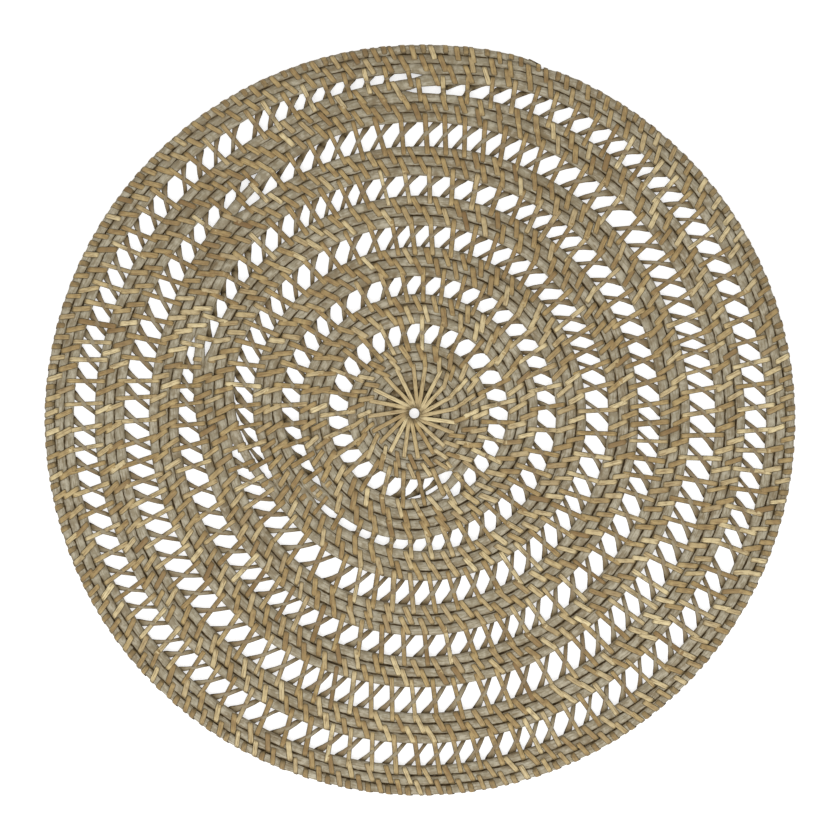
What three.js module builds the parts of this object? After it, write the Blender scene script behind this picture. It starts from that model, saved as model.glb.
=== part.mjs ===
// Round openwork placemat: one long rattan rod coiled flat and sewn, turn to turn, with split cane.
// Millimetres, +Z up. The mat lies on z = 0 with the middle of its outline over the origin.
// The mat is one solid. A turn of the rod that stands clear of the turn inside it leaves a ring of
// holes between the cane strands that tie the two together, and there are six such rings.
import * as THREE from 'three';

// Sizes across the coil
const ROD = 4.6; // round rod that is coiled
const CANE = 0.5; // thickness of the flat sewing cane, which runs over and under the rod
const THICKNESS = ROD + 2 * CANE;
const RIM_RADIUS = 190.5;

// The coil starts beside a small hole, a little off the middle of the finished mat. Its turns move
// over to that middle as they grow: sideways in the first ones, and up and down in the last.
const WEAVE_CENTRE = { x: -3.0, y: 3.5 };
const EYE_RADIUS = 3.1;
const CORE = { startRadius: 6.3, pitch: 4.85, turns: 6 };

// Bands of close turns, one outside each ring of holes. Angles are in degrees, clockwise from +X.
// The rod climbs from the band before over climbRun degrees, and reaches firstRadius. That first
// turn grows by lift in one round, and sags by dip where the climbing rod comes in under its end.
// The close turns that follow are pitch apart.
const BANDS = [
  { climbFrom: 38, climbRun: 62, firstRadius: 45.5, lift: 3.9, dip: 1.8, pitch: 5.2 },
  { climbFrom: 120, climbRun: 80, firstRadius: 72.5, lift: 0, dip: 1.8, pitch: 5.15 },
  { climbFrom: 141, climbRun: 62, firstRadius: 98.6, lift: 0, dip: 0, pitch: 5.25 },
  { climbFrom: 182, climbRun: 48, firstRadius: 124.4, lift: 0, dip: 0, pitch: 5.2 },
  { climbFrom: 217, climbRun: 44, firstRadius: 152.2, lift: 0, dip: 0, pitch: 5.15 },
  { climbFrom: 256, climbRun: 40, firstRadius: 177.9, lift: 0, dip: 0, pitch: 4.85 },
];
const TURNS_IN_BAND = 3; // and as much more as takes the rod round to the next climb
const DIP_RUN = 60; // degrees over which the sagging stretch goes down, and comes up again
const TAIL = { past: 33, taper: 12 }; // where the rod ends after the last climb, and its thinned end
const SOFTNESS = 1.0; // how gently a turn comes to rest on the turn inside it

// Stitches: a turn takes a few, and more for each millimetre of radius of the turn inside it
const SPOKES = 20; // long strands that radiate from the eye, over the first turns
const SPOKE_TURNS = 3;
const STITCHES = { perTurn: 8.5, perRadius: 0.56 };
const STITCH_LEAN = 5.4; // each stitch starts this far before the one in the turn inside it
// Stitches close up to let an extra one in. They do so over this many times the share of extra
// stitches that the turn takes, and over no less than LEAST_SLIDE of the way from one to the next.
const SLIDE = 8;
const LEAST_SLIDE = 0.35;

// Strands across an open ring: a front one, nearly straight out, and a slanted one behind it
const STRAND_WIDTH = 2.2;
const FRONT_SLANT = 0.12; // sideways run of the front strand for each millimetre of gap
const BACK_SLANT = 0.82;
const BACK_SHARE = 0.9; // and the most that the back strand runs, as a share of the stitch spacing
const LEAST_GAP = 3.0; // a lower gap is filled by its strands

const TURN = 360; // degrees; the coil is sampled once in each
const OUTLINE_STEP = 2; // samples from one corner of the outline to the next
const EYE_CORNERS = 32;

const clamp = (value, low, high) => Math.min(Math.max(value, low), high);
const ease = (t) => { const s = clamp(t, 0, 1); return s * s * (3 - 2 * s); };
const softMax = (a, b) => (a + b + Math.hypot(a - b, SOFTNESS)) / 2;

// Reads a list of samples between two of them.
function sampleAt(list, index) {
  const low = clamp(Math.floor(index), 0, list.length - 2);
  return list[low] + (list[low + 1] - list[low]) * (index - low);
}

// The bands with the total angle turned, from the rod's start, at which each one's climb begins.
function placeBands() {
  let turned = CORE.turns * TURN;
  return BANDS.map((band, index) => {
    if (index > 0) {
      turned += TURNS_IN_BAND * TURN + band.climbFrom - BANDS[index - 1].climbFrom;
    }
    return { ...band, turned };
  });
}

// The rod's middle line, as its radius at each sample, and how much of its thickness is left there.
function windCoil(bands) {
  const lastBand = bands[bands.length - 1];
  const length = Math.round(lastBand.turned + TURNS_IN_BAND * TURN + TAIL.past);
  const radius = [];
  const fullness = [];
  for (let k = 0; k <= length; k += 1) {
    const below = k >= TURN ? radius[k - TURN] : 0;
    const index = bands.findLastIndex((band) => k >= band.turned);
    const left = clamp((length - k) / TAIL.taper, 0, 1);
    fullness.push(Math.sqrt(left));
    if (index < 0) {
      radius.push(CORE.startRadius + CORE.pitch * k / TURN);
      continue;
    }
    const band = bands[index];
    const along = k - band.turned;
    const pitchBefore = index > 0 ? bands[index - 1].pitch : CORE.pitch;
    const sag = band.dip * ease(1 - Math.abs(along - TURN) / DIP_RUN);
    const open = band.firstRadius + band.lift * Math.min(along / TURN, 1) - sag;
    if (along < TURN / 2) {
      const resting = below + pitchBefore;
      radius.push(resting + (open - resting) * ease(along / band.climbRun));
    } else {
      radius.push(softMax(open, below + band.pitch * (1 + Math.sqrt(left)) / 2));
    }
  }
  return { radius, fullness };
}

// How many stitches have been made by each sample. The count follows the turn inside, so that the
// stitches stand in slanting lines, and takes in an extra stitch wherever they have spread too far.
function countStitches(radius) {
  const made = [];
  const rate = [];
  let wanted = 0;
  for (let k = 0; k < radius.length; k += 1) {
    if (k < SPOKE_TURNS * TURN) {
      rate.push(SPOKES / TURN);
      wanted = k * rate[k];
      made.push(wanted);
      continue;
    }
    rate.push((STITCHES.perTurn + STITCHES.perRadius * radius[k - TURN]) / TURN);
    wanted += rate[k];
    const lean = TURN * STITCH_LEAN / (2 * Math.PI * radius[k]);
    const inside = sampleAt(made, k - TURN + lean);
    const slide = clamp(SLIDE * (1 - rate[k - TURN] / rate[k]), LEAST_SLIDE, 1);
    const short = wanted - inside;
    const whole = Math.floor(short);
    made.push(inside + whole + clamp((short - whole - 0.5) / slide + 0.5, 0, 1));
  }
  return made;
}

const bands = placeBands();
const coil = windCoil(bands);
const stitchesMade = countStitches(coil.radius);
const startAngle = BANDS[0].climbFrom - CORE.turns * TURN;

// A point of the mat, at a sample's angle and a radius from the coil's drifting middle.
function pointAt(k, radius) {
  const angle = THREE.MathUtils.degToRad(startAngle + k);
  const grown = radius / RIM_RADIUS;
  return new THREE.Vector2(
    WEAVE_CENTRE.x * (1 - grown) ** 2 + radius * Math.cos(angle),
    WEAVE_CENTRE.y * (1 - grown ** 2) - radius * Math.sin(angle),
  );
}

// The samples, whole and part, at which the stitches of one open turn stand.
function stitchSamples(band) {
  const samples = [];
  for (let k = band.turned; k < band.turned + TURN + band.climbRun; k += 1) {
    const from = stitchesMade[k];
    const to = stitchesMade[k + 1];
    if (Math.floor(to) > Math.floor(from)) {
      samples.push(k + (Math.floor(to) - from) / (to - from));
    }
  }
  return samples;
}

// The hole between a stitch of an open turn and the next one, or null where the gap is too low.
function holeBetween(left, right) {
  const middle = (left + right) / 2;
  const inner = sampleAt(coil.radius, middle - TURN) + ROD / 2;
  const outer = sampleAt(coil.radius, middle) - ROD / 2;
  const gap = outer - inner;
  if (gap < LEAST_GAP) {
    return null;
  }
  const samplesPerMm = TURN / (Math.PI * (inner + outer));
  const half = STRAND_WIDTH / 2;
  const front = FRONT_SLANT * gap / 2;
  const back = Math.min(BACK_SLANT * gap, BACK_SHARE * (right - left) / samplesPerMm) / 2;
  const corner = (stitch, across, height) => (
    pointAt(stitch + across * samplesPerMm, inner + gap * height)
  );
  return new THREE.Path([
    corner(left, front + half, 0),
    corner(right, -back - half, 0),
    corner(right, -half, 0.5),
    corner((left + right) / 2, (back - front) / 2, 1),
    corner(left, half, 0.5),
  ]);
}

function matShape() {
  const last = coil.radius.length - 1;
  const outline = [];
  for (let k = last - TURN + OUTLINE_STEP; k <= last; k += OUTLINE_STEP) {
    outline.push(pointAt(k, coil.radius[k] + coil.fullness[k] * ROD / 2 + CANE));
  }
  const shape = new THREE.Shape(outline);
  const eye = new THREE.Path();
  eye.absarc(WEAVE_CENTRE.x, WEAVE_CENTRE.y, EYE_RADIUS, 0, 2 * Math.PI);
  shape.holes.push(new THREE.Path(eye.getPoints(EYE_CORNERS / 2).slice(0, -1)));
  for (const band of bands) {
    const stitches = stitchSamples(band);
    for (let n = 1; n < stitches.length; n += 1) {
      const hole = holeBetween(stitches[n - 1], stitches[n]);
      if (hole) {
        shape.holes.push(hole);
      }
    }
  }
  return shape;
}

const cane = new THREE.MeshStandardMaterial({ color: 0x8f8266, roughness: 0.75, metalness: 0 });
const mat = new THREE.Mesh(
  new THREE.ExtrudeGeometry(matShape(), { depth: THICKNESS, bevelEnabled: false }),
  cane,
);
mat.name = 'mat';

const group = new THREE.Group();
group.add(mat);

export default group;
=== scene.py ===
"""Round openwork placemat: a rattan rod coiled flat and sewn, turn to turn, with split cane.

The course of the coil and the places of its stitches are worked out in millimetres and in degrees
turned, as the part's solid has them. Meshes are made in metres.
"""

import logging
import math
from dataclasses import dataclass, field
from enum import Enum

import bmesh
import bpy
import numpy as np
from mathutils import Matrix

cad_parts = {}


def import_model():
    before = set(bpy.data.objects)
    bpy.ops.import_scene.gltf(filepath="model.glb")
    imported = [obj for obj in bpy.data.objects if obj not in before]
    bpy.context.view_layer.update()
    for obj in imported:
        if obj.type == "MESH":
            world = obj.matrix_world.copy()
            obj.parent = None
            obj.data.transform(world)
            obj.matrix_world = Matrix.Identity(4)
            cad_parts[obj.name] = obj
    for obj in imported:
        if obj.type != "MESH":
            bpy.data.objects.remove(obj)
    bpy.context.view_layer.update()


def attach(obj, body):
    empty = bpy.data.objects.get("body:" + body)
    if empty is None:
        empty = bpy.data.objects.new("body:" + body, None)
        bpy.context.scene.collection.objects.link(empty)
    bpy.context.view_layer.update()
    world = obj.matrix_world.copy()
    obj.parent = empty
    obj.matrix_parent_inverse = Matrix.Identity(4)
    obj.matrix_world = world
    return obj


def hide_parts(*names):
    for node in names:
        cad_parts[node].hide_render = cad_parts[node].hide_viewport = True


log = logging.getLogger("placemat")

Colour = tuple[float, float, float, float]
Pair = tuple[float, float]
Facing = Pair  # a direction across the rod: outwards, up
Step = tuple[float, float, Facing, float, float]  # radius, height, facing, shade, width
Waves = tuple[tuple[float, int], ...]  # swing to either side, and values from knot to knot
Socket = bpy.types.NodeSocket

TURN = 360  # degrees; the coil is sampled once in each
MM = 0.001
ROD_HALF_HEIGHT = 2.28  # mm
MID_HEIGHT = 2.8  # mm, of the rod's middle line above the table
SEED = 7
UP = (0.0, 1.0)
DOWN = (0.0, -1.0)
WHITE = (1.0, 1.0, 1.0, 1.0)
STREAK_SCALE = 0.28  # of the broad streaks, against the fibres'
RAGGED_SHADE_SCALE = 520.0  # to the metre, of the noise that breaks up the painted shade in crevices


def clamp(value: float, low: float, high: float) -> float:
    """Returns value, held between low and high."""
    return min(max(value, low), high)


def ease(values: np.ndarray | float, low: float = 0.0, high: float = 1.0) -> np.ndarray | float:
    """Returns a smooth step from 0 to 1 as values go from low to high."""
    held = np.clip((values - low) / (high - low), 0.0, 1.0)
    return held * held * (3.0 - 2.0 * held)


# ---- the coil


@dataclass(frozen=True)
class Band:
    """A band of close turns, outside one ring of holes: millimetres, and degrees clockwise."""

    climb_from: float
    climb_run: float
    first_radius: float
    lift: float
    dip: float
    pitch: float


@dataclass
class Coil:
    """The rod's course and where its stitches stand, as millimetres against degrees turned."""

    rod: float = 4.6
    rim_radius: float = 190.5
    weave_centre: Pair = (-3.0, 3.5)
    eye_radius: float = 3.1
    core_radius: float = 6.3
    core_pitch: float = 4.85
    core_turns: float = 6.0
    bands: tuple[Band, ...] = (
        Band(38, 62, 45.5, 3.9, 1.8, 5.2),
        Band(120, 80, 72.5, 0.0, 1.8, 5.15),
        Band(141, 62, 98.6, 0.0, 0.0, 5.25),
        Band(182, 48, 124.4, 0.0, 0.0, 5.2),
        Band(217, 44, 152.2, 0.0, 0.0, 5.15),
        Band(256, 40, 177.9, 0.0, 0.0, 4.85),
    )
    turns_in_band: int = 3
    dip_run: float = 60.0
    tail: float = 33.0
    taper: float = 12.0
    softness: float = 1.0
    spokes: int = 20
    spoke_turns: int = 3
    first_sewn: float = 1352.0  # the spokes lie on the turn before, and the stitches begin here
    per_turn: float = 8.5
    per_radius: float = 0.56
    lean: float = 5.4
    slide: float = 8.0
    least_slide: float = 0.35
    climbs: list[float] = field(init=False)
    radius: np.ndarray = field(init=False)
    fullness: np.ndarray = field(init=False)
    stitches: np.ndarray = field(init=False)

    def __post_init__(self) -> None:
        """Works the course out from the sizes."""
        self.climbs = self.place_climbs()
        self.radius, self.fullness = self.wind()
        self.stitches = self.place_stitches()

    @property
    def end(self) -> int:
        """The degrees turned at the rod's outer end."""
        return len(self.radius) - 1

    def place_climbs(self) -> list[float]:
        """Returns the degrees turned at which the rod leaves each band for the next."""
        turned = [self.core_turns * TURN]
        for before, band in zip(self.bands, self.bands[1:]):
            run = self.turns_in_band * TURN + band.climb_from - before.climb_from
            turned.append(turned[-1] + run)
        return turned

    def wind(self) -> tuple[np.ndarray, np.ndarray]:
        """Winds the rod.

        Returns:
            The radius of its middle line, and the share of its thickness, at each degree turned.
        """
        last = round(self.climbs[-1] + self.turns_in_band * TURN + self.tail)
        radius: list[float] = []
        fullness: list[float] = []
        for turned in range(last + 1):
            left = clamp((last - turned) / self.taper, 0.0, 1.0)
            fullness.append(math.sqrt(left))
            passed = [i for i, climb in enumerate(self.climbs) if turned >= climb]
            if passed:
                along = turned - self.climbs[passed[-1]]
                radius.append(self.settle(passed[-1], along, radius[turned - TURN], left))
            else:
                radius.append(self.core_radius + self.core_pitch * turned / TURN)
        return np.array(radius), np.array(fullness)

    def settle(self, index: int, along: float, below: float, left: float) -> float:
        """Lays the rod at one place in a band.

        Args:
            index: which band.
            along: degrees turned since the band's climb began.
            below: radius of the turn inside, at the same angle.
            left: share of the rod's thinned end that is still to come.

        Returns:
            The rod's radius there.
        """
        band = self.bands[index]
        pitch_before = self.bands[index - 1].pitch if index else self.core_pitch
        sag = band.dip * ease(1.0 - abs(along - TURN) / self.dip_run)
        clear = band.first_radius + band.lift * min(along / TURN, 1.0) - sag
        if along < TURN / 2:
            resting = below + pitch_before
            return resting + (clear - resting) * ease(along / band.climb_run)
        close = below + band.pitch * (1.0 + math.sqrt(left)) / 2.0
        return (clear + close + math.hypot(clear - close, self.softness)) / 2.0

    def place_stitches(self) -> np.ndarray:
        """Counts stitches along the rod, each row leaning on the row inside it.

        Returns:
            The degrees turned at which each stitch stands, spokes first.
        """
        made: list[float] = []
        rate: list[float] = []
        wanted = 0.0
        for turned in range(len(self.radius)):
            if turned < self.spoke_turns * TURN:
                rate.append(self.spokes / TURN)
                wanted = turned * rate[-1]
                made.append(wanted)
                continue
            rate.append((self.per_turn + self.per_radius * self.radius[turned - TURN]) / TURN)
            wanted += rate[-1]
            place = turned - TURN + TURN * self.lean / (2 * math.pi * self.radius[turned])
            low = int(place)
            inside = made[low] + (made[low + 1] - made[low]) * (place - low)
            grown = 1 - rate[turned - TURN] / rate[turned]
            slide = clamp(self.slide * grown, self.least_slide, 1)
            short = wanted - inside
            whole = math.floor(short)
            made.append(inside + whole + clamp((short - whole - 0.5) / slide + 0.5, 0.0, 1.0))
        rising = np.maximum.accumulate(made) + np.arange(len(made)) * 1e-9
        return np.interp(np.arange(1, int(rising[-1]) + 1), rising, np.arange(len(made)))

    def read(self, course: np.ndarray, turned: np.ndarray | float) -> np.ndarray | float:
        """Returns what a list with one value for each degree holds at any place in the course."""
        return np.interp(turned, np.arange(len(course)), course)

    def radius_at(self, turned: float) -> float:
        """Returns the rod's radius at a place in its course."""
        return float(self.read(self.radius, turned))

    def rods_at(self, turned: float) -> tuple[float, float, float]:
        """Returns the radii of a turn and of the turn inside it, and the outer one's fullness."""
        full = float(self.read(self.fullness, turned))
        return self.radius_at(turned), self.radius_at(turned - TURN), full

    def gap_inside(self, turned: float) -> float:
        """Returns the clear gap between a turn and the turn inside it."""
        return self.radius_at(turned) - self.radius_at(turned - TURN) - self.rod

    def gap_outside(self, turned: float) -> float:
        """Returns the clear gap between a turn and the turn outside it, wide if there is none."""
        return self.rim_radius if turned + TURN > self.end else self.gap_inside(turned + TURN)

    def plane(self, turned: np.ndarray, radius: np.ndarray) -> tuple[np.ndarray, np.ndarray]:
        """Turns coil coordinates into the mat's own, about a middle that drifts as it grows.

        Args:
            turned: degrees turned.
            radius: millimetres from the drifting middle.

        Returns:
            Points and outward directions, each an array of x, y, z in millimetres with z 0.
        """
        angle = np.radians(self.bands[0].climb_from - self.core_turns * TURN + turned)
        outward = np.stack([np.cos(angle), -np.sin(angle), np.zeros_like(angle)], axis=-1)
        grown = radius / self.rim_radius
        middle = np.zeros_like(outward)
        middle[..., 0] = self.weave_centre[0] * (1.0 - grown) ** 2
        middle[..., 1] = self.weave_centre[1] * (1.0 - grown ** 2)
        return middle + outward * radius[..., None], outward


# ---- swept meshes


def link(name: str, data: bpy.types.ID) -> bpy.types.Object:
    """Returns a new object that shows data, linked to the scene."""
    made = bpy.data.objects.new(name, data)
    bpy.context.scene.collection.objects.link(made)
    return made


@dataclass
class Strand:
    """A closed section carried along a line: places in metres, and what the finish reads there."""

    ring_points: np.ndarray  # sections, corners, xyz
    along: np.ndarray  # metres from the strand's start, one for each section
    around: np.ndarray  # share of the way round the section, one for each corner
    tint: np.ndarray  # sections, corners, (tone, warmth, shade)


@dataclass
class Weave:
    """One mesh of many strands, each made from a grid that is rolled up into a closed tube."""

    name: str
    strands: list[Strand] = field(default_factory=list)

    def build(self) -> bpy.types.Object:
        """Rolls up the grids, joins their seams and closes their ends.

        Returns:
            The finished object, linked to the scene.
        """
        form = bmesh.new()
        for index, strand in enumerate(self.strands):
            sections, corners = strand.ring_points.shape[:2]
            height = Matrix.Translation((0.0, 0.0, float(index)))
            bmesh.ops.create_grid(
                form, x_segments=sections - 1, y_segments=corners, size=1.0, matrix=height
            )
        mesh = bpy.data.meshes.new(self.name)
        form.to_mesh(mesh)
        self.roll(mesh)
        form.clear()
        form.from_mesh(mesh)
        bmesh.ops.remove_doubles(form, verts=form.verts, dist=1e-7)
        rims = [edge for edge in form.edges if edge.is_boundary]
        bmesh.ops.holes_fill(form, edges=rims, sides=0)
        bmesh.ops.recalc_face_normals(form, faces=form.faces)
        form.to_mesh(mesh)
        form.free()
        mesh.shade_smooth()
        return link(self.name, mesh)

    def roll(self, mesh: bpy.types.Mesh) -> None:
        """Moves the flat grids' corners to the strands' places, with their UVs and tints.

        Args:
            mesh: flat grids of size 1, each at the height that is its strand's number.
        """
        flat = np.empty(len(mesh.vertices) * 3)
        mesh.vertices.foreach_get("co", flat)
        flat = flat.reshape(-1, 3)
        number = np.rint(flat[:, 2]).astype(int)
        place = np.empty_like(flat)
        tint = np.ones((len(flat), 4))
        sheet = np.empty((len(flat), 2))
        for index, strand in enumerate(self.strands):
            mine = np.flatnonzero(number == index)
            sections, corners = strand.ring_points.shape[:2]
            row = np.rint((flat[mine, 0] + 1.0) / 2.0 * (sections - 1)).astype(int)
            column = np.rint((flat[mine, 1] + 1.0) / 2.0 * corners).astype(int)
            place[mine] = strand.ring_points[row, column % corners]
            tint[mine, :3] = strand.tint[row, column % corners]
            sheet[mine, 0] = strand.along[row]
            sheet[mine, 1] = np.append(strand.around, 1.0)[column]
        mesh.vertices.foreach_set("co", place.ravel())
        corner_of = np.empty(len(mesh.loops), dtype=np.int32)
        mesh.loops.foreach_get("vertex_index", corner_of)
        mesh.uv_layers.new(name="Strand").data.foreach_set("uv", sheet[corner_of].ravel())
        tints = mesh.color_attributes.new("Tint", "FLOAT_COLOR", "POINT")
        tints.data.foreach_set("color", tint.ravel())
        mesh.update()


def run_along(middle: np.ndarray) -> np.ndarray:
    """Returns how far along a line each of its points is, in metres, from points in millimetres."""
    step = np.linalg.norm(np.diff(middle, axis=0), axis=1)
    return np.concatenate([[0.0], np.cumsum(step)]) * MM


# ---- colour of the strands


@dataclass(frozen=True)
class Patch:
    """A place where the strands look different: millimetres, how much lighter, how much browner."""

    x: float
    y: float
    spread: float
    tone: float
    warmth: float


PATCHES = (
    Patch(132, -108, 44, 0.34, 0.02),
    Patch(-108, 92, 24, -0.20, 0.32),
    Patch(-50, -50, 15, -0.25, 0.10),
    Patch(5, 184, 66, -0.42, -0.08),
    Patch(-150, 110, 34, 0.0, -0.10),
    Patch(-186, -20, 40, 0.28, -0.10),
    Patch(186, 10, 46, 0.24, -0.04),
    Patch(-70, -170, 34, 0.12, 0.10),
    Patch(50, -38, 60, 0.22, 0.0),
    Patch(60, 120, 36, -0.12, 0.06),
)


def patch_tint(points: np.ndarray) -> tuple[np.ndarray, np.ndarray]:
    """Adds up the patches.

    Args:
        points: places on the mat, in millimetres.

    Returns:
        The tone and the warmth to add at each place.
    """
    tone = np.zeros(points.shape[:-1])
    warmth = np.zeros(points.shape[:-1])
    for patch in PATCHES:
        away = np.hypot(points[..., 0] - patch.x, points[..., 1] - patch.y)
        share = np.exp(-((away / patch.spread) ** 2))
        tone += patch.tone * share
        warmth += patch.warmth * share
    return tone, warmth


def slow_noise(rng: np.random.Generator, count: int, waves: Waves) -> np.ndarray:
    """Makes a smooth random line.

    Args:
        rng: the source of the noise.
        count: how many values.
        waves: the waves that it is the sum of.

    Returns:
        The values.
    """
    total = np.zeros(count)
    for swing, run in waves:
        knots = rng.uniform(-1.0, 1.0, count // run + 3)
        place = np.arange(count) / run
        low = place.astype(int)
        part = ease(place - low)
        total += swing * (knots[low] * (1.0 - part) + knots[low + 1] * part)
    return total


# ---- the rod


@dataclass
class RodPiece:
    """The coiled rod, from its pared start beside the eye to its thinned end at the rim."""

    coil: Coil
    corner_angles: tuple[float, ...] = (
        0, 16, 30, 46, 68, 90, 112, 134, 150, 164, 180, 205, 238, 270, 302, 335
    )
    section_run: float = 2.8
    section_turn: float = 9.0
    pared_turn: float = 330.0
    pared_blend: float = 40.0  # degrees over which the pared start comes up to the first turn
    least_pared: float = 0.3  # half width, and its distance from the eye
    widest_half: float = 3.8
    swollen_gap: float = 2.5  # a gap no wider than this is closed by the rod
    swollen_ease: float = 0.8
    open_half: float = 2.5  # reach into an open ring, on the inner side
    overlap: float = 0.2  # how far touching turns are pressed into each other
    touching_gap: Pair = (0.6, 2.2)  # from touching, for the shade, to open
    hollow: Pair = (-3.5, 6.5)  # middle of the shaded hollow under the spokes
    hollow_reach: Pair = (7.0, 17.0)
    hollow_shade: float = 0.8
    core_groove: float = 0.7  # share of the usual shade between the first turns
    usual_size: float = 0.985
    thickness_waves: Waves = ((0.03, 3), (0.02, 17))
    side_share: float = 0.3  # of them, in the rod's width
    rise_waves: Waves = ((0.07, 7),)
    sway_waves: Waves = ((0.13, 3), (0.08, 1))
    usual_tone: float = 0.5
    tone_waves: Waves = ((0.28, 11), (0.12, 3))
    usual_warmth: float = 0.3
    warmth_waves: Waves = ((0.25, 23), (0.1, 6))
    ragged_waves: Waves = ((0.5, 1),)
    groove_edge: Pair = (0.62, 0.30)  # share of the half width, and the ragged part
    open_shade: float = 0.28
    touching_shade: Pair = (0.86, 0.60)  # on top of it, and what raggedness takes

    def course(self) -> tuple[np.ndarray, ...]:
        """Works out the rod's sections.

        Returns:
            For each section: degrees turned, radius, half widths outwards and inwards, and the
            share of the rod's full height.
        """
        coil = self.coil
        fine = np.arange(-self.pared_turn, coil.end + 0.5, 1.0)
        pared = fine < 0
        half = coil.rod / 2
        start = coil.eye_radius + self.least_pared
        room = coil.read(coil.radius, fine + TURN) - half
        thin = np.clip((room - start) / 2, self.least_pared, half)
        radius = np.where(
            pared, start + thin, np.maximum(coil.read(coil.radius, fine), start + half)
        )
        blend = ease(fine, -self.pared_blend, 0.0)
        radius = np.where(pared, radius * (1 - blend) + coil.core_radius * blend, radius)
        outside = np.where(pared, thin + 0.05, [self.half_width(k, +1) for k in fine])
        inside = np.where(pared, thin, [self.half_width(k, -1) for k in fine])
        pared_height = np.clip(thin / half, 0.2, 1.0) ** 0.5
        full = np.where(pared, pared_height, coil.read(coil.fullness, fine))
        run = np.radians(1.0) * radius
        weight = np.cumsum(np.maximum(run / self.section_run, 1.0 / self.section_turn))
        picks = np.interp(np.arange(weight[0], weight[-1], 1.0), weight, fine)
        picks = np.append(picks, fine[-1])
        return picks, *(np.interp(picks, fine, of) for of in (radius, outside, inside, full))

    def half_width(self, turned: float, side: int) -> float:
        """Finds how far the rod reaches towards a neighbour that it may rest against.

        Args:
            turned: place in the rod's course.
            side: 1 for outwards, -1 for inwards.

        Returns:
            The half width on that side, in millimetres.
        """
        coil = self.coil
        if turned < 0:
            return coil.rod / 2
        gap = 0.4  # of the first turn on its inner side, where it has no neighbour
        if side > 0:
            gap = coil.gap_outside(turned)
        elif turned >= TURN:
            gap = coil.gap_inside(turned)
        free = coil.rod / 2 if side > 0 else self.open_half
        touching = min((coil.rod + gap) / 2 + self.overlap, self.widest_half)
        share = ease((gap - self.swollen_gap) / self.swollen_ease)
        return touching * (1 - share) + free * share

    def build(self) -> bpy.types.Object:
        """Makes the rod as one closed tube, with its unevenness and its shaded sides worked in.

        Returns:
            The rod's object.
        """
        rng = np.random.default_rng(SEED)
        turned, radius, outside, inside, full = self.course()
        middle, outward = self.coil.plane(turned, radius)
        count = len(turned)
        wobble = self.usual_size + slow_noise(rng, count, self.thickness_waves)[:, None]
        rise = slow_noise(rng, count, self.rise_waves)[:, None]
        sway = slow_noise(rng, count, self.sway_waves)[:, None]
        angles = np.array(self.corner_angles, dtype=float)
        across = np.cos(np.radians(angles))[None, :]
        inside = inside * np.where(turned < 0, full, 1.0)
        reach = np.where(across > 0, (outside * full)[:, None], inside[:, None]) * across
        reach = reach * (1.0 + (wobble - 1.0) * self.side_share) + sway
        height = np.sin(np.radians(angles))[None, :] * ROD_HALF_HEIGHT * full[:, None] * wobble
        points = middle[:, None, :] + outward[:, None, :] * reach[..., None]
        points[..., 2] = MID_HEIGHT + height + rise
        tint = np.zeros((count, len(angles), 3))
        add_tone, add_warmth = patch_tint(points)
        tone = self.usual_tone + slow_noise(rng, count, self.tone_waves)
        warmth = self.usual_warmth + slow_noise(rng, count, self.warmth_waves)
        tint[..., 0] = tone[:, None] + add_tone
        tint[..., 1] = warmth[:, None] + add_warmth
        near = [1.0 - ease(gap, *self.touching_gap)[:, None] for gap in self.gaps(turned)]
        side = np.where(across > 0, *near)
        ragged = 0.5 + slow_noise(rng, count, self.ragged_waves)[:, None]
        edge = self.groove_edge[0] + self.groove_edge[1] * ragged
        groove = ease((np.abs(across) - edge) / (1.0 - edge), 0.0, self.groove_edge[0])
        away = np.hypot(middle[:, 0] - self.hollow[0], middle[:, 1] - self.hollow[1])
        between_spokes = self.hollow_shade * (1.0 - ease(away, *self.hollow_reach))[:, None]
        deep = np.where(turned < self.coil.climbs[0], self.core_groove, 1.0)[:, None]
        added = self.touching_shade[0] - self.touching_shade[1] * ragged
        shade = groove * deep * (self.open_shade + added * side)
        tint[..., 2] = np.maximum(shade, between_spokes)
        tint = np.clip(tint, 0.0, 1.0)
        strand = Strand(points * MM, run_along(middle), angles / TURN, tint)
        return Weave("coil_rod", [strand]).build()

    def gaps(self, turned: np.ndarray) -> tuple[np.ndarray, np.ndarray]:
        """Measures the gaps beside the rod.

        Args:
            turned: places in the rod's course.

        Returns:
            The gaps outside and inside it at each place, in millimetres.
        """
        coil = self.coil
        outer = np.array([coil.gap_outside(max(k, 0.0)) for k in turned])
        inner = np.array([coil.gap_inside(k) if k >= TURN else 0.0 for k in turned])
        return outer, inner


# ---- the cane


class Row(Enum):
    """How a stitch holds its turn of rod."""

    CORE = "short, over the middles of two of the first turns"
    CLOSE = "over its own turn and the turn inside it"
    UNDER_GAP = "as CLOSE, with an open ring outside it"
    OPEN = "across an open ring"
    RIM = "round the last turn"


@dataclass(frozen=True)
class Hold:
    """How far a kind of stitch reaches over its two rods, in half widths, and how it slants."""

    top: float
    bottom: float
    slant: float
    width: float


HOLDS = {
    Row.CORE: Hold(top=0.90, bottom=-0.30, slant=0.46, width=2.45),
    Row.CLOSE: Hold(top=0.90, bottom=-0.74, slant=0.46, width=2.8),
    Row.UNDER_GAP: Hold(top=0.80, bottom=-0.55, slant=0.48, width=2.8),
    Row.OPEN: Hold(top=1.00, bottom=-0.95, slant=0.11, width=2.5),
    Row.RIM: Hold(top=1.00, bottom=-0.10, slant=0.34, width=2.7),
}
RIM_WRAP = Hold(top=1.0, bottom=-1.0, slant=0.18, width=2.9)


@dataclass(frozen=True)
class Uneven:
    """How far stitches stray from the usual, as standard deviations."""

    top: float = 0.05
    bottom: float = 0.10
    slant: float = 0.12  # share of its own
    lean: float = 0.03
    width: float = 0.07  # share of its own
    second: float = 0.3
    tone: float = 0.30
    warmth: float = 0.13


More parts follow.
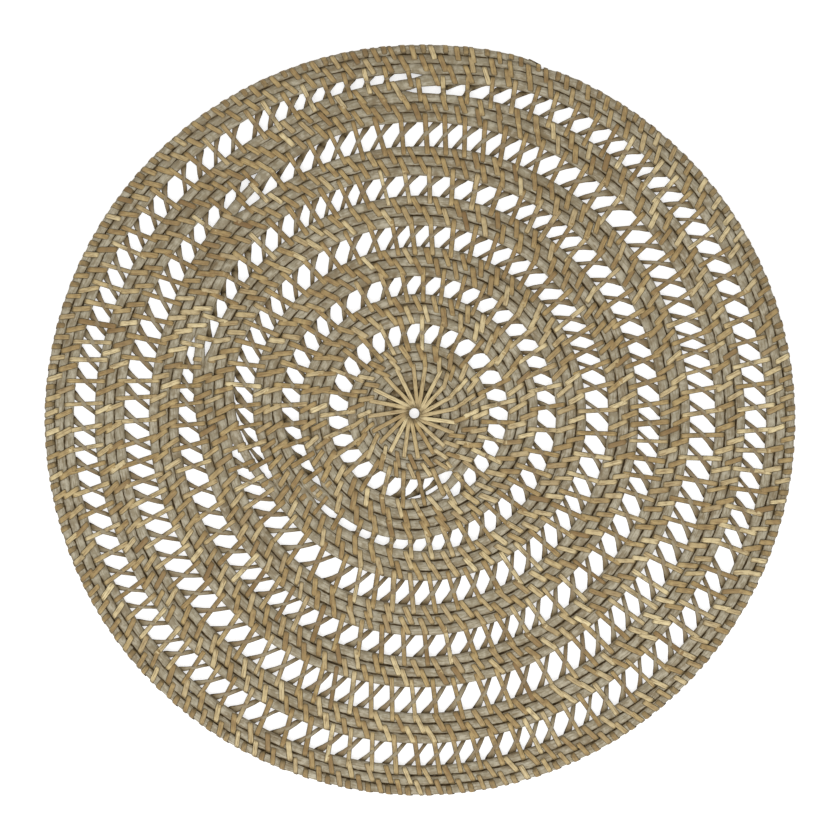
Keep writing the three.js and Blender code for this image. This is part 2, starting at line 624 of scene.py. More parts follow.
@dataclass
class Station:
    """One section of a strand of cane."""

    turned: float
    radius: float
    height: float  # mm above or below the rod's middle line
    facing: Facing  # the skin side's direction
    width: float
    tone: float
    warmth: float
    shade: float


@dataclass
class Cane:
    """The split cane: its section, and how it is carried over and under the rod."""

    coil: Coil
    thickness: float = 0.5
    half_height: float = ROD_HALF_HEIGHT
    half_width: float = 2.38
    second_width: float = 2.35  # of the strand behind, where it shows in an open ring
    back_width: float = 2.0
    low_slant: float = 0.74  # of the strand behind, below and above where it crosses the front one
    high_slant: float = 0.90
    crossing: float = 0.53  # share of the gap's height
    back_share: float = 0.9  # the most that it runs, as a share of the stitch spacing
    first_ring_share: float = 0.5  # in the innermost ring it stands more upright
    first_ring: Pair = (42.0, 90.0)  # radii between which that wears off
    upright_gap: float = 3.6  # and in a gap no higher than this it stands quite upright
    full_run_gap: float = 2.6  # above that, where it runs as far as it can
    least_run: float = 0.08
    flat_share: float = 0.72  # of the width, where the section is flat
    edge_shade: float = 0.72  # along both edges of a strand, where it meets what it lies on
    least_open: float = 2.2  # a lower gap is sewn as a close row
    least_wrapped: float = 0.55  # fullness of the rod's end below which it isn't wrapped
    usual_tone: float = 0.49
    usual_warmth: float = 0.22
    brown: Pair = (0.07, 0.45)  # share of browner stitches, and how much browner
    uneven: Uneven = Uneven()

    def lie(self, across: float, full: float = 1.0) -> float:
        """Returns the height of cane that lies on a rod, across half widths from its crest."""
        rise = math.sqrt(max(1.0 - across * across, 0.0))
        return self.half_height * full * rise + self.thickness / 2

    def kind(self, turned: float) -> Row:
        """Returns how the stitch at a place in the rod's course is made."""
        if self.coil.gap_inside(turned) > self.least_open:
            return Row.OPEN
        if turned < self.coil.climbs[0] - TURN / 2:
            return Row.CORE
        if turned > self.coil.end - TURN:
            return Row.RIM
        return Row.UNDER_GAP if self.coil.gap_outside(turned) > 1.0 else Row.CLOSE

    def ribbon(self, stations: list[Station]) -> Strand:
        """Carries the cane's section along its stations.

        Args:
            stations: the strand's sections in order.

        Returns:
            The strand, in metres.
        """
        names = ("turned", "radius", "height", "width")
        turned, radius, height, width = (
            np.array([getattr(station, name) for station in stations]) for name in names
        )
        middle, outward = self.coil.plane(turned, radius)
        middle[:, 2] = MID_HEIGHT + height
        facing = np.array([station.facing for station in stations])
        skin = outward * facing[:, :1]
        skin[:, 2] = facing[:, 1]
        ahead = np.gradient(middle, axis=0)
        ahead /= np.maximum(np.linalg.norm(ahead, axis=1, keepdims=True), 1e-9)
        side = np.cross(skin, ahead)
        side /= np.maximum(np.linalg.norm(side, axis=1, keepdims=True), 1e-9)
        skin = np.cross(ahead, side)
        flat = self.flat_share / 2
        corners = np.array(
            [[-0.5, 0.0], [-flat, 0.5], [flat, 0.5], [0.5, 0.0], [flat, -0.5], [-flat, -0.5]]
        )
        points = (
            middle[:, None, :]
            + side[:, None, :] * (width[:, None] * corners[None, :, 0])[..., None]
            + skin[:, None, :] * (self.thickness * corners[None, :, 1])[..., None]
        )
        tint = np.array([[s.tone, s.warmth, s.shade] for s in stations])
        tint = np.repeat(tint[:, None, :], len(corners), axis=1)
        tint[..., 2] += np.where(np.abs(corners[:, 0]) > flat, self.edge_shade, 0.0)
        around = np.arange(len(corners)) / len(corners)
        return Strand(points * MM, run_along(middle), around, np.clip(tint, 0.0, 1.0))


@dataclass
class Stitch:
    """One stitch, and the random part of its make."""

    turned: float
    middle: float  # radius at which it stands at that place
    row: Row
    hold: Hold
    second: float  # width of the strand behind
    tone: float
    warmth: float

    def at(self, radius: float) -> float:
        """Returns the degrees turned of the stitch's slanting line at a radius."""
        return self.turned + math.degrees(self.hold.slant * (self.middle - radius) / radius)

    def carry(
        self, steps: list[Step], radii: list[float] | None = None,
        places: list[float] | None = None,
    ) -> list[Station]:
        """Carries the strand on the stitch's own line, or on one that bends behind the rods.

        Args:
            steps: what it does, in order.
            radii: the radii of the line's bends, rising.
            places: the degrees turned of the bends.

        Returns:
            The stations.
        """
        return [
            Station(
                float(np.interp(r, radii, places)) if radii else self.at(r),
                r, h, facing, width, self.tone, self.warmth, shade,
            )
            for r, h, facing, shade, width in steps
        ]


@dataclass
class StitchPiece:
    """The stitches between two places in the rod's course."""

    name: str
    coil: Coil
    cane: Cane
    begins: float
    ends: float

    def build(self) -> bpy.types.Object:
        """Sews the rows as long strands, broken only where the kind of row changes.

        Returns:
            The object that holds all of these stitches.
        """
        rng = np.random.default_rng(SEED + int(self.begins))
        places = self.coil.stitches
        places = places[(places >= self.begins) & (places < self.ends)]
        weave = Weave(self.name)
        run: list[Stitch] = []
        for stitch in [self.choose(place, rng) for place in places]:
            if run and (stitch.row is Row.OPEN) != (run[-1].row is Row.OPEN):
                self.sew(weave, run)
                run = []
            run.append(stitch)
        self.sew(weave, run)
        return weave.build()

    def choose(self, turned: float, rng: np.random.Generator) -> Stitch:
        """Settles how one stitch is made.

        Args:
            turned: its place in the rod's course.
            rng: the source of its unevenness.

        Returns:
            The stitch.
        """
        row = self.cane.kind(turned)
        cane, usual, uneven = self.cane, HOLDS[row], self.cane.uneven
        own, inner, _ = self.coil.rods_at(turned)
        point, _ = self.coil.plane(np.array([turned]), np.array([own]))
        add_tone, add_warmth = patch_tint(point)
        hold = Hold(
            top=clamp(usual.top + rng.normal(0.0, uneven.top), 0.4, 1.0),
            bottom=clamp(usual.bottom + rng.normal(0.0, uneven.bottom), -0.98, 0.5),
            slant=usual.slant * rng.normal(1.0, uneven.slant) + rng.normal(0.0, uneven.lean),
            width=usual.width * rng.normal(1.0, uneven.width),
        )
        warmth = cane.usual_warmth + rng.normal(0.0, uneven.warmth)
        share, more = cane.brown
        warmth += more if rng.random() < share else 0.0
        return Stitch(
            turned=turned,
            middle=(own + inner) / 2,
            row=row,
            hold=hold,
            second=clamp(rng.normal(cane.second_width, uneven.second), 1.8, 3.1),
            tone=clamp(rng.normal(cane.usual_tone, uneven.tone) + float(add_tone[0]), 0.0, 1.0),
            warmth=clamp(warmth + float(add_warmth[0]), 0.0, 1.0),
        )

    def sew(self, weave: Weave, run: list[Stitch]) -> None:
        """Adds the strands that make a run of stitches of one kind.

        Args:
            weave: the mesh that takes the strands.
            run: the stitches in order.
        """
        if not run:
            return
        is_open = run[0].row is Row.OPEN
        loop = self.open_loop if is_open else self.close_loop
        strands = 2 if is_open else 1
        for first in range(strands):
            loops = [loop(run, index) for index in range(first, len(run), strands)]
            if loops:
                weave.strands.append(self.cane.ribbon(sum(loops, [])))

    def close_loop(self, run: list[Stitch], index: int) -> list[Station]:
        """Lays one stitch over two close rods and back behind them, on to the next.

        Args:
            run: the stitches of the close row.
            index: which of them.

        Returns:
            The strand's stations, from where it comes up outside its rod.
        """
        cane, stitch, lie = self.cane, run[index], self.cane.lie
        follows = run[index + 1] if index + 1 < len(run) else None
        hold, half = stitch.hold, cane.half_width
        own, inner, full = self.coil.rods_at(stitch.turned)
        reach = max(full, 0.3) * half
        top = own + reach * hold.top
        groove = (own + inner) / 2
        low = inner + half * hold.bottom
        thinned = cane.half_height * 0.9 * (0.55 + 0.45 * full)
        wide = hold.width
        narrow = wide * 0.8
        stations = stitch.carry([
            (top + 0.05, 0.0, (1.0, 0.1), 1.0, narrow),
            (top - 0.03, lie(hold.top * 0.97, full) - 0.1, (0.85, 0.5), 0.6, wide * 0.9),
            (own + reach * 0.5 * hold.top, lie(0.5 * hold.top, full), (0.45, 0.9), 0.1, wide),
            (own, lie(0.0, full), UP, 0.0, wide),
            (groove, thinned, UP, 0.16, wide),
            (inner + half * 0.35, lie(0.35) + 0.06, (0.1, 1.0), 0.0, wide),
            (low + half * 0.30, lie(hold.bottom + 0.30) + 0.06, (-0.1, 1.0), 0.14, wide),
            (low + 0.05, lie(hold.bottom) - 0.12, (-0.6, 0.8), 0.4, wide * 0.95),
            (low - 0.10, 0.2, (-1.0, 0.1), 1.0, narrow),
        ])
        target = follows.at(top) if follows else stitch.at(top) + math.degrees(9.0 / own)
        if stitch.row is Row.RIM:
            target = (stitch.at(top) + target) / 2
        back = cane.back_width
        behind = [
            (low, -lie(hold.bottom) + 0.05, (-0.6, -0.8), 0.5, back),
            (inner, -lie(0.0), DOWN, 0.0, back),
            (groove, -thinned, DOWN, 0.1, back),
            (own, -lie(0.0, full), DOWN, 0.0, back),
            (top - 0.05, -lie(hold.top * 0.97, full) + 0.1, (0.85, -0.5), 0.7, back),
        ]
        behind = behind if follows else behind[:2]
        stations += stitch.carry(behind, [low, top], [stitch.at(low), target])
        if stitch.row is Row.RIM and follows and full > cane.least_wrapped:
            stations += self.rim_wrap(stitch, follows)
        return stations

    def rim_wrap(self, stitch: Stitch, follows: Stitch) -> list[Station]:
        """Wraps the rim once more, between two stitches.

        Args:
            stitch: the stitch before the wrap.
            follows: the stitch after it.

        Returns:
            The stations of the wrap.
        """
        cane, lie = self.cane, self.cane.lie
        place = (stitch.turned + follows.turned) / 2
        own, inner, full = self.coil.rods_at(place)
        full = max(full, 0.25)
        edge = cane.half_width * full
        between = Stitch(
            place, own, Row.RIM, RIM_WRAP, stitch.second, stitch.tone * 0.6,
            clamp(stitch.warmth + 0.15, 0.0, 1.0),
        )
        wide, back = between.hold.width, cane.back_width
        stations = between.carry([
            (own + edge + 0.12, 0.0, (1.0, 0.1), 0.3, wide),
            (own + edge * 0.9, lie(0.9, full), (0.8, 0.6), 0.18, wide),
            (own + edge * 0.3, lie(0.3, full) - 0.16, (0.3, 1.0), 0.24, wide),
            (own - edge * 0.4, lie(0.4, full) - 0.2, (-0.4, 0.9), 0.3, wide),
            (own - edge * 0.9, lie(0.9, full) - 0.2, (-0.8, 0.6), 0.8, wide),
            (own - edge, 0.0, (-1.0, 0.0), 1.0, wide),
        ])
        top = follows.middle + (own - inner) / 2 + edge
        stations += between.carry([
            (own - edge * 0.6, -lie(0.6, full), (-0.6, -0.8), 0.3, back),
            (own, -lie(0.0, full), DOWN, 0.0, back),
            (own + edge * 0.7, -lie(0.7, full), (0.7, -0.7), 0.2, back),
        ], [own - edge, top], [between.at(own - edge), follows.at(top)])
        return stations

    def open_loop(self, run: list[Stitch], index: int) -> list[Station]:
        """Lays one stitch across an open ring, and the strand behind it on to the next but one.

        Args:
            run: the stitches of the open row.
            index: which of them.

        Returns:
            The strand's stations.
        """
        cane, coil, lie = self.cane, self.coil, self.cane.lie
        stitch = run[index]
        hold, half = stitch.hold, cane.half_width
        own, inner, full = coil.rods_at(stitch.turned)
        gap = own - inner - coil.rod
        top, low = own + half, inner + half * hold.bottom
        bare = coil.rod / 2
        foot, head = inner + bare, own - bare
        cross = foot + gap * cane.crossing
        wide, mid = hold.width, cane.half_height
        stations = stitch.carry([
            (top + 0.05, 0.0, (1.0, 0.1), 1.0, wide * 0.85),
            (own + half * 0.85, lie(0.85, full), (0.8, 0.6), 0.4, wide * 0.95),
            (own + half * 0.4, lie(0.4, full), (0.4, 0.9), 0.03, wide),
            (own - half * 0.15, lie(0.15, full), (-0.1, 1.0), 0.0, wide),
            (own - bare * 0.75, lie(0.75, full), (-0.6, 0.8), 0.04, wide),
            (head - gap * 0.12, mid * 0.3, (-0.4, 0.9), 0.08, wide),
            (cross, -0.28, UP, 0.34, wide),
            (foot + gap * 0.12, mid * 0.3, (0.4, 0.9), 0.22, wide),
            (inner + bare * 0.75, lie(0.75), (0.6, 0.8), 0.08, wide),
            (inner + half * 0.1, lie(0.1), (0.1, 1.0), 0.0, wide),
            (inner - half * 0.5, lie(0.5), (-0.5, 0.9), 0.05, wide),
            (low + 0.05, lie(hold.bottom) - 0.05, (-0.85, 0.5), 0.6, wide * 0.95),
            (low - 0.05, 0.0, (-1.0, 0.0), 1.0, wide * 0.85),
        ])
        if index + 2 >= len(run):
            return stations
        crossed, target = run[index + 1], run[index + 2]
        spacing = math.radians(crossed.turned - stitch.turned) * cross
        rise, fall = cane.high_slant * (head - cross), cane.low_slant * (cross - foot)
        upright = float(np.interp(cross, cane.first_ring, (cane.first_ring_share, 1.0)))
        upright *= clamp((gap - cane.upright_gap) / cane.full_run_gap, cane.least_run, 1.0)
        share = min(upright, cane.back_share * spacing / (rise + fall))
        middle = crossed.at(cross)
        places = [
            stitch.at(low),
            middle - math.degrees(fall * share / foot),
            middle,
            middle + math.degrees(rise * share / head),
            target.at(top),
        ]
        back, seen = cane.back_width, stitch.second
        stations += stitch.carry([
            (inner - half * 0.6, -lie(0.6), (-0.6, -0.8), 0.2, back),
            (inner + half * 0.1, -lie(0.1), (0.1, -1.0), 0.0, back),
            (inner + bare * 0.85, -lie(0.85), (0.4, -0.9), 0.6, back),
            (foot + gap * 0.18, -mid * 0.35, (0.3, -1.0), 0.22, seen * 0.95),
            (cross, 0.28, DOWN, 0.0, seen),
            (head - gap * 0.24, -mid * 0.20, (-0.3, -1.0), 0.08, seen * 1.15),
            (head - gap * 0.05, -mid * 0.45, (-0.4, -1.0), 0.35, seen * 1.5),
            (own - bare * 0.80, -lie(0.85, full), (-0.4, -0.9), 0.8, seen * 1.5),
            (own, -lie(0.0, full), DOWN, 0.0, back),
            (own + half * 0.8, -lie(0.8, full), (0.8, -0.6), 0.4, back),
        ], [low, foot, cross, head, top], places)
        return stations


@dataclass
class SpokePiece:
    """The long strands that radiate from the eye over the first turns."""

    coil: Coil
    cane: Cane
    offset: float = 2.0  # each spoke's line passes this far from the eye's middle
    past_middle: float = 1.4  # how far each spoke passes the middle of the rod that it ends on
    widest: float = 2.3
    crowding: float = 0.36  # width for each millimetre of radius, where the spokes crowd
    stray: float = 1.6  # degrees
    tone: Pair = (0.72, 0.14)  # usual, and standard deviation
    warmth: Pair = (0.18, 0.10)
    brown: Pair = (0.06, 0.50)  # as the cane's

    def build(self) -> bpy.types.Object:
        """Lays the spokes as one strand that goes round and round through the eye.

        Returns:
            The spokes' object.
        """
        rng = np.random.default_rng(SEED + 1)
        coil = self.coil
        places = (np.arange(coil.spokes) + 0.5) * TURN / coil.spokes + coil.first_sewn - TURN
        stations: list[Station] = []
        share, more = self.brown
        for place in places + rng.normal(0.0, self.stray, len(places)):
            tone = clamp(rng.normal(*self.tone), 0.0, 1.0)
            warmth = rng.normal(*self.warmth) + (more if rng.random() < share else 0.0)
            stations += self.spoke(place, tone, clamp(warmth, 0.0, 1.0))
        return Weave("spokes", [self.cane.ribbon(stations)]).build()

    def spoke(self, place: float, tone: float, warmth: float) -> list[Station]:
        """Lays one spoke, out over the face and back in behind, on to where the next one begins.

        Args:
            place: degrees turned at its outer end.
            tone: how light it is.
            warmth: how brown it is.

        Returns:
            Its stations, from the eye.
        """
        outer, eye = self.coil.radius_at(place), self.coil.eye_radius
        end = outer + self.past_middle
        crest = self.cane.lie(0.0)
        laid = eye + 2.9  # radius at which it first lies on the rod
        front = [
            (eye - 0.35, -0.6, (-1.0, 0.1), 0.45),
            (eye + 0.15, crest * 0.55, (-0.8, 0.6), 0.38),
            (eye + 1.3, crest * 0.93, (-0.3, 1.0), 0.3),
            (laid, crest, UP, 0.0),
            *((laid + (outer - laid) * k, crest - 0.04, UP, 0.0) for k in (0.3, 0.5, 0.7, 0.85)),
            (outer - 0.8, crest, UP, 0.0),
            (end - 0.8, crest - 0.1, (0.5, 0.8), 0.05),
            (end - 0.2, crest - 0.7, (0.9, 0.4), 0.4),
            (end, 0.6, (1.0, 0.0), 0.9),
        ]
        back = [
            (end - 0.1, -self.cane.lie(0.9), (0.9, -0.4), 0.2),
            (outer, -crest, DOWN, 0.2),
            ((outer + eye) / 2, -crest, DOWN, 0.2),
            (eye + 2.8, -crest, DOWN, 0.2),
            (eye + 0.2, -crest * 0.6, (-0.8, -0.6), 0.2),
        ]
        base = place - math.degrees(math.asin(self.offset / end))
        turn_on = TURN / self.coil.spokes / len(back)
        stations = []
        for index, (radius, height, facing, shade) in enumerate(front + back):
            turned = base + max(index - len(front), 0) * turn_on
            turned += math.degrees(math.asin(min(self.offset / radius, 1.0)))
            width = min(self.widest, self.crowding * radius)
            stations.append(Station(turned, radius, height, facing, width, tone, warmth, shade))
        return stations


# ---- finishes


@dataclass(frozen=True)
class Graph:
    """Adds and joins the nodes of one node tree."""

    tree: bpy.types.NodeTree

    def __post_init__(self) -> None:
        """Empties the tree."""
        self.tree.nodes.clear()

    def add(
        self, kind: str, settings: dict[str, object] | None = None, *values: object,
        **inputs: object,
    ) -> Socket | None:
        """Adds a node.

        Args:
            kind: the node's type, without its ShaderNode start.
            settings: its own properties by name.
            values: values or sockets for its inputs, in their order.
            inputs: values or sockets for its inputs, by name with _ for a space.

        Returns:
            Its first output, or None if it has none.
        """
        node = self.tree.nodes.new(f"ShaderNode{kind}")
        for name, value in (settings or {}).items():
            setattr(node, name, value)
        for index, value in enumerate(values):
            self.feed(node.inputs[index], value)
        for name, value in inputs.items():
            self.feed(node.inputs[name.replace("_", " ")], value)
        return node.outputs[0] if node.outputs else None

    def feed(self, socket: Socket, value: object) -> None:
        """Joins a socket to value if that is a socket, and otherwise sets it."""
        if isinstance(value, Socket):
            self.tree.links.new(value, socket)
        else:
            socket.default_value = value

    def math(self, operation: str, *values: object) -> Socket:
        """Returns the output of a new clamped Math node on two values or sockets."""
        return self.add("Math", {"operation": operation, "use_clamp": True}, *values)

    def mix(self, share: object, first: object, second: object) -> Socket:
        """Returns the mixed colour of a new Mix node, which is second where share is 1."""
        node = self.add("Mix", {"data_type": "RGBA"}, share).node
        sockets = [socket for socket in node.inputs if socket.type == "RGBA"]
        for socket, colour in zip(sockets, (first, second)):
            self.feed(socket, colour)
        return next(socket for socket in node.outputs if socket.type == "RGBA")

    def spread(
        self, value: object, low: object, high: object, to_low: float = 0.0, to_high: float = 1.0
    ) -> Socket:
        """Returns a smooth step from to_low to to_high as value goes from low to high."""
        smooth = {"interpolation_type": "SMOOTHSTEP"}
        return self.add("MapRange", smooth, value, low, high, to_low, to_high)


@dataclass(frozen=True)
class EffectGroups:
    """The effects that both finishes use, as shader node groups."""

    fibre: bpy.types.NodeTree
    blotch: bpy.types.NodeTree
    # the group that paints shade into crevices
    painted_shade: bpy.types.NodeTree

    @classmethod
    def build(cls) -> "EffectGroups":
        """Returns the three groups, newly made."""
        return cls(cls.make_fibre(), cls.make_blotch(), cls.make_painted_shade())

    @staticmethod
    def start(name: str, inputs: dict[str, str], outputs: dict[str, str]) -> tuple:
        """Starts a group.

        Args:
            name: the group's name.
            inputs: its inputs' kinds by name.
            outputs: its outputs' kinds by name.

        Returns:
            Its graph, what it is given, and what it puts out.
        """
        tree = bpy.data.node_groups.new(name, "ShaderNodeTree")
        for direction, sockets in (("INPUT", inputs), ("OUTPUT", outputs)):
            for socket, kind in sockets.items():
                tree.interface.new_socket(
                    name=socket, in_out=direction, socket_type=f"NodeSocket{kind}"
                )
        graph = Graph(tree)
        given = tree.nodes.new("NodeGroupInput").outputs
        return graph, given, tree.nodes.new("NodeGroupOutput").inputs

    @classmethod
    def make_fibre(cls) -> bpy.types.NodeTree:
        """Makes fine fibres that run along a strand: Strand in metres along, and 0 to 1 around."""
        inputs = {"Strand": "Vector", "Along": "Float", "Around": "Float"}
        graph, given, done = cls.start(
            "Fibres along a strand", inputs, {"Fibre": "Float", "Streak": "Float"}
        )
        place = given["Strand"]
        scales = (graph.add("CombineXYZ", X=given["Along"], Y=given["Around"]), (STREAK_SCALE,) * 3)
        for name, scale, detail, low in zip(done.keys(), scales, (3.0, 2.0), (0.30, 0.35)):
            place = graph.add("VectorMath", {"operation": "MULTIPLY"}, place, scale)
            noise = graph.add("TexNoise", Vector=place, Scale=1.0, Detail=detail)
            graph.feed(done[name], graph.spread(noise, low, 1.0 - low))
        return graph.tree

    @classmethod
    def make_blotch(cls) -> bpy.types.NodeTree:
        """Makes uneven blotches over the mat, Size of them to the metre."""
        inputs = {"Size": "Float", "Edge": "Float"}
        graph, given, done = cls.start("Blotches", inputs, {"Blotch": "Float"})
        place = graph.add("TexCoord").node.outputs["Object"]
        noise = graph.add("TexNoise", Vector=place, Scale=given["Size"], Detail=4.0)
        low, high = (graph.math(side, 0.5, given["Edge"]) for side in ("SUBTRACT", "ADD"))
        graph.feed(done["Blotch"], graph.spread(noise, low, high))
        return graph.tree

    @classmethod
    def make_painted_shade(cls) -> bpy.types.NodeTree:
        """Makes the painted shade of what lies deep between the strands, broken up by noise."""
        colours = {"Colour": "Color", "Half shade colour": "Color", "Deep shade colour": "Color"}
        graph, given, done = cls.start(
            "Painted shade in crevices", {**colours, "Shade": "Float"}, {"Colour": "Color"}
        )
        place = graph.add("TexCoord").node.outputs["Object"]
        noise = graph.add("TexNoise", Vector=place, Scale=RAGGED_SHADE_SCALE, Detail=3.0)
        uneven = graph.spread(noise, 0.3, 0.7, 0.6, 1.35)
        ragged = graph.math("MULTIPLY", uneven, given["Shade"])
        # painted shade: towards its half shade colour, then towards its deepest colour
        half_shade = graph.mix(graph.spread(ragged, 0.0, 0.55), given["Colour"], given["Half shade colour"])
        deep = graph.mix(graph.spread(ragged, 0.45, 1.0), half_shade, given["Deep shade colour"])
        graph.feed(done["Colour"], deep)
        return graph.tree


@dataclass(frozen=True)
class Reads:
    """What a finish reads along a strand."""

    tone: Socket
    warmth: Socket
    shade: Socket
    around: Socket
    fibre: Socket
    streak: Socket


@dataclass(frozen=True)
class StrandFinish:
    """What the finishes of rod and cane share: their fibres, and the painted shade between strands.
    """

    groups: EffectGroups
    name: str
    fibres: Pair  # to the metre along the strand, and round it
    # colours of the painted shade between strands: half way, and at its darkest
    half_shade: Colour
    deep: Colour
    bump: Pair  # strength, and metres
    gloss: float

    def build(self) -> bpy.types.Material:
        """Returns the finish as a material."""
        made = bpy.data.materials.new(self.name)
        made.use_nodes = True
        graph = Graph(made.node_tree)
        strand = graph.add("UVMap", {"uv_map": "Strand"})
        tint = graph.add("VertexColor", {"layer_name": "Tint"})
        fibres = graph.add("Group", {"node_tree": self.groups.fibre}, strand, *self.fibres)
        reads = Reads(
            *graph.add("SeparateColor", Color=tint).node.outputs,
            graph.add("SeparateXYZ", Vector=strand).node.outputs["Y"],
            *fibres.node.outputs,
        )
        colour, roughness = self.colour(graph, reads)
        # painted shade from the tint's shade channel, darkest deep in crevices and along strand
        # edges
        painted_shade = {"node_tree": self.groups.painted_shade}
        shade_painted = graph.add("Group", painted_shade, colour, self.half_shade, self.deep, reads.shade)
        strength, distance = self.bump
        normal = graph.add("Bump", Strength=strength, Distance=distance, Height=reads.fibre)
        surface = graph.add(
            "BsdfPrincipled", Base_Color=shade_painted, Roughness=roughness, Normal=normal,
            Specular_IOR_Level=self.gloss,
        )
        graph.add("OutputMaterial", Surface=surface)
        return made

    def blotch(self, graph: Graph, size_and_edge: Pair) -> Socket:
        """Returns blotches over the mat: how many to the metre, and how soft their edges are."""
        return graph.add("Group", {"node_tree": self.groups.blotch}, *size_and_edge)


@dataclass(frozen=True)
class WashedRod(StrandFinish):
    """The rod's finish: dry rattan core under a grey wash, with brown showing in its grain."""

    name: str = "washed_rod"
    fibres: Pair = (210.0, 19.0)
    # painted shade in the rod's grooves and under the spokes: half shade and deepest colours
    half_shade: Colour = (0.138, 0.094, 0.042, 1.0)
    deep: Colour = (0.072, 0.048, 0.021, 1.0)
    bump: Pair = (0.35, 0.0003)
    gloss: float = 0.25
    wash: Colour = (0.377, 0.334, 0.233, 1.0)
    core: Colour = (0.200, 0.144, 0.072, 1.0)
    pale: Colour = (0.60, 0.545, 0.415, 1.0)
    roughness: float = 0.78
    blotches: Pair = (110.0, 0.16)
    specks: Pair = (330.0, 0.16)
    worn: float = 0.55  # the most of the core that streaks lay bare
    browned: float = 0.9  # and that warmth does
    lightest: float = 0.6  # the most of the pale colour

    def colour(self, graph: Graph, reads: Reads) -> tuple[Socket, object]:
        """Mixes the wash, the core that shows through it, and its pale and dark flecks.

        Args:
            graph: the material's graph.
            reads: what it reads along the strand.

        Returns:
            The colour, and the roughness.
        """
        worn = graph.math("MULTIPLY", reads.streak, self.worn)
        brown = graph.math("ADD", graph.math("MULTIPLY", reads.warmth, self.browned), worn)
        brown = graph.math("MULTIPLY", brown, self.blotch(graph, self.blotches))
        colour = graph.mix(brown, self.wash, self.core)
        light = graph.math("MULTIPLY", reads.tone, reads.fibre)
        colour = graph.mix(graph.math("MULTIPLY", light, self.lightest), colour, self.pale)
        speck = self.blotch(graph, self.specks)
        colour = graph.mix(graph.spread(speck, 0.55, 1.0, 0.0, 0.45), colour, self.pale)
        dark = graph.spread(reads.fibre, 0.0, 0.5, 0.48, 0.0)
        dark = graph.math("MAXIMUM", dark, graph.spread(speck, 0.0, 0.4, 0.42, 0.0))
        return graph.mix(dark, colour, self.core), self.roughness


@dataclass(frozen=True)
class SplitCane(StrandFinish):
    """The cane's finish: a golden, faintly glossy skin, and dull pith on its inner side."""

    name: str = "split_cane"
    fibres: Pair = (190.0, 17.0)
    # painted shade where the cane dives under rods, at its ends and along its edges: half shade and
    # deepest colours
    half_shade: Colour = (0.195, 0.142, 0.066, 1.0)
    deep: Colour = (0.052, 0.032, 0.012, 1.0)
    bump: Pair = (0.3, 0.0002)
    gloss: float = 0.35
    gold: Colour = (0.53, 0.388, 0.168, 1.0)
    pale: Colour = (0.84, 0.70, 0.395, 1.0)
    brown: Colour = (0.225, 0.128, 0.046, 1.0)
    pith: Colour = (0.36, 0.305, 0.20, 1.0)
    roughness: Pair = (0.55, 0.85)  # of skin and pith
    blotches: Pair = (260.0, 0.18)
    browned: float = 0.95  # the most of the brown that warmth adds
    halfway: Pair = (0.49, 0.53)  # round the section, where skin turns to pith

    def colour(self, graph: Graph, reads: Reads) -> tuple[Socket, object]:
        """Mixes the golden skin and its brown marks, and the pith behind it.

        Args:
            graph: the material's graph.
            reads: what it reads along the strand.

        Returns:
            The colour, and the roughness.
        """
        skin = graph.mix(graph.spread(reads.tone, 0.35, 1.0), self.gold, self.pale)
        skin = graph.mix(graph.math("MULTIPLY", reads.warmth, self.browned), skin, self.brown)
        blotch = self.blotch(graph, self.blotches)
        tanned = graph.math("MULTIPLY", blotch, graph.spread(reads.tone, 1.0, 0.0, 0.1, 0.6))
        skin = graph.mix(tanned, skin, self.brown)
        skin = graph.mix(graph.spread(reads.fibre, 0.55, 0.0, 0.0, 0.62), skin, self.brown)
        inner = graph.spread(reads.around, *self.halfway)
        under = graph.mix(graph.spread(reads.streak, 0.0, 1.0, 0.0, 0.6), self.pith, self.brown)
        return graph.mix(inner, skin, under), graph.spread(inner, 0.0, 1.0, *self.roughness)


@dataclass(frozen=True)
class PaleFloor:
    """The floor: white to the camera, with the mat's soft shadow still on it."""

    white: Colour = (0.80, 0.80, 0.80, 1.0)
    glow: float = 0.62

    def build(self) -> bpy.types.Material:
        """Returns the finish as a material."""
        made = bpy.data.materials.new("pale_floor")
        made.use_nodes = True
        graph = Graph(made.node_tree)
        matt = graph.add("BsdfDiffuse", Color=self.white)
        glow = graph.add("Emission", Color=WHITE, Strength=self.glow)
        both = graph.add("AddShader", {}, matt, glow)
        rays = graph.add("LightPath").node.outputs
        seen = graph.math("ADD", rays["Is Camera Ray"], rays["Is Glossy Ray"])
        seen = graph.math("ADD", seen, rays["Is Transmission Ray"])
        graph.add("OutputMaterial", Surface=graph.add("MixShader", {}, seen, matt, both))
        return made


# ---- the studio


@dataclass(frozen=True)
class Lamp:
    """One large soft lamp, turned to the mat."""

    name: str
    place: tuple[float, float, float]
    size: float
    watts: float

    def build(self) -> None:
        """Hangs the lamp."""
        light = bpy.data.lights.new(self.name, "AREA")
        light.size = self.size
        light.energy = self.watts
        lamp = link(self.name, light)
        lamp.location = self.place
        lamp.rotation_euler = (-lamp.location).to_track_quat("-Z", "Y").to_euler()


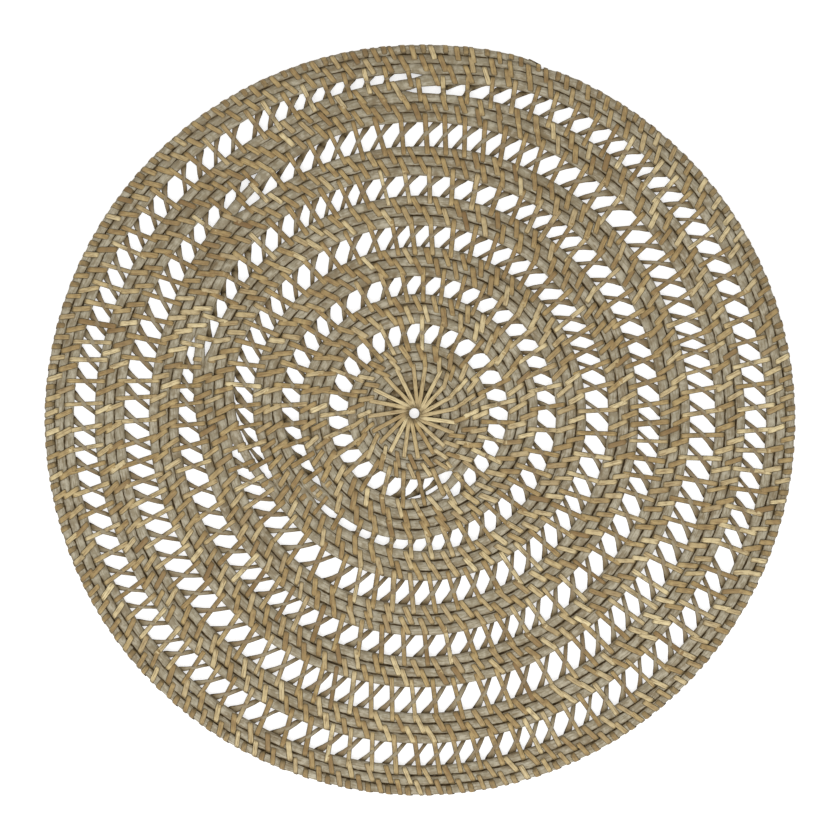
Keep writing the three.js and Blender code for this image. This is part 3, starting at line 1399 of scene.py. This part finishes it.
@dataclass
class Studio:
    """The floor, the lamps and the camera straight above the mat."""

    floor_size: float = 6.0
    camera_height: float = 2.0
    view_width: float = 0.4252
    view_centre: Pair = (0.0, 0.0001)
    sensor: float = 36.0
    mat_height: float = 0.0056
    sky: float = 0.64
    lamps: tuple[Lamp, ...] = (
        Lamp("key_lamp", (0.05, -0.85, 0.90), 0.9, 6.6),
        Lamp("fill_lamp", (-0.6, 0.7, 1.5), 1.2, 3.2),
    )

    def build(self) -> None:
        """Sets up everything that is not the mat."""
        self.build_floor()
        self.build_world()
        for lamp in self.lamps:
            lamp.build()
        self.build_camera()

    def build_floor(self) -> None:
        """Lays the floor that the mat rests on."""
        form = bmesh.new()
        bmesh.ops.create_grid(form, x_segments=1, y_segments=1, size=self.floor_size / 2)
        mesh = bpy.data.meshes.new("floor")
        form.to_mesh(mesh)
        form.free()
        mesh.materials.append(PaleFloor().build())
        link("floor", mesh)

    def build_world(self) -> None:
        """Lights the scene evenly all round, and keeps what the camera sees of it white."""
        world = bpy.data.worlds.new("studio")
        bpy.context.scene.world = world
        world.use_nodes = True
        graph = Graph(world.node_tree)
        soft, seen = (
            graph.add("Background", Color=WHITE, Strength=strength) for strength in (self.sky, 1.0)
        )
        camera_ray = graph.add("LightPath").node.outputs["Is Camera Ray"]
        graph.add("OutputWorld", Surface=graph.add("MixShader", {}, camera_ray, soft, seen))

    def build_camera(self) -> None:
        """Sets the camera straight above the mat, with its top edge towards +Y."""
        lens = bpy.data.cameras.new("camera")
        lens.sensor_width = self.sensor
        lens.lens = self.sensor * self.camera_height / self.view_width
        camera = link("camera", lens)
        camera.location = (*self.view_centre, self.camera_height + self.mat_height)
        bpy.context.scene.camera = camera


# ---- the mat


class Slot(Enum):
    """The record's material slots."""

    ROD = "rod"
    CANE = "cane"


@dataclass
class Placemat:
    """The whole mat: the rod and the cane that sews it."""

    coil: Coil = field(default_factory=Coil)

    def build(self) -> None:
        """Makes and dresses every piece."""
        groups = EffectGroups.build()
        rod_finish = WashedRod(groups).build()
        cane_finish = SplitCane(groups).build()
        cane = Cane(self.coil)
        rod = self.dress(RodPiece(self.coil).build(), rod_finish, Slot.ROD)
        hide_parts("mat")
        sewn = [self.dress(SpokePiece(self.coil, cane).build(), cane_finish, Slot.CANE)]
        starts = [self.coil.first_sewn, *self.coil.climbs, self.coil.end]
        for index, (begins, ends) in enumerate(zip(starts, starts[1:])):
            name = f"stitches_band_{index}" if index else "stitches_core"
            piece = StitchPiece(name, self.coil, cane, begins, ends)
            sewn.append(self.dress(piece.build(), cane_finish, Slot.CANE))

    def dress(
        self, piece: bpy.types.Object, finish: bpy.types.Material, slot: Slot
    ) -> bpy.types.Object:
        """Gives a piece its finish and its place in the model.

        Args:
            piece: the piece.
            finish: its material.
            slot: not used.

        Returns:
            The same piece.
        """
        piece.data.materials.append(finish)
        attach(piece, "root")
        log.info("%s: %d faces", piece.name, len(piece.data.polygons))
        return piece


def main() -> None:
    """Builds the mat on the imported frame, and the studio round it."""
    logging.basicConfig(level=logging.INFO, format="%(message)s")
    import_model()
    bpy.context.scene.view_settings.view_transform = "Standard"
    Studio().build()
    Placemat().build()


if __name__ == "__main__":
    main()
